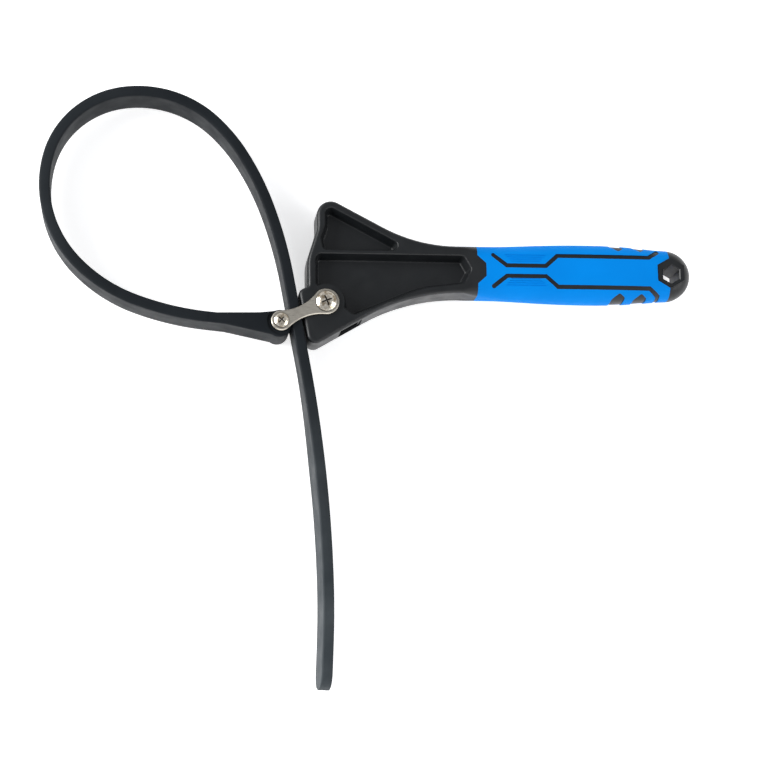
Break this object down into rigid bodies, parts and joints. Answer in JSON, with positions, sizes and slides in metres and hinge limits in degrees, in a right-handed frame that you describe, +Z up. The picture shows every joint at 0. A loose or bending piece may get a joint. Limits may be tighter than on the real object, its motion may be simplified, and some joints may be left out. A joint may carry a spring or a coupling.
{
  "type": "oil filter wrench",
  "caption": "Rubber strap wrench for gripping and turning round filters and lids: a strap looped back through a pivoting link beside a fan-shaped plastic head with a soft-clad grip.",
  "frame": {"origin": "on the surface that the tool lies on, under the middle of its bounding box", "axes": "+X along the handle from the head to the grip's end, +Y across it towards the strap's loop, +Z up out of the surface, along both pivots"},
  "size_m": [0.3772, 0.3434, 0.0298],
  "materials": {
    "black_plastic": "satin moulded",
    "blue_grip": "satin soft-touch",
    "strap_rubber": "satin moulded",
    "link_steel": "nickel plated, lightly brushed",
    "screw_chrome": "polished",
    "bush_steel": "turned"
  },
  "bodies": {
    "handle": {"handle_core": "black_plastic", "grip_sleeve": "blue_grip", "pivot_bush": "bush_steel", "strap_loop": "strap_rubber"},
    "links": {"link_plate_front": "link_steel", "link_plate_back": "link_steel", "pivot_screw": "screw_chrome", "pivot_barrel_nut": "screw_chrome", "strap_pin_screw": "screw_chrome", "strap_pin_barrel_nut": "screw_chrome"},
    "strap_end": {"strap_end": "strap_rubber", "lug_bush": "bush_steel"},
    "strap_tail": {"strap_tail": "strap_rubber"}
  },
  "joints": [
    {"name": "link_swing", "type": "hinge", "parent": "handle", "child": "links", "pos_m": [-0.02703, 0.04551, 0.01424], "axis": [0, 0, 1], "range_deg": [-12, 0], "deforming": ["strap_loop"]},
    {"name": "strap_end_swing", "type": "hinge", "parent": "links", "child": "strap_end", "pos_m": [-0.0526, 0.03412, 0.01424], "axis": [0, 0, 1], "range_deg": [-8, 5], "deforming": ["strap_loop"]},
    {"name": "strap_pull", "type": "slide", "parent": "handle", "child": "strap_tail", "axis": [0.1719, -0.9851, 0], "range_m": [-0.012, 0.02], "deforming": ["strap_loop"]}
  ]
}
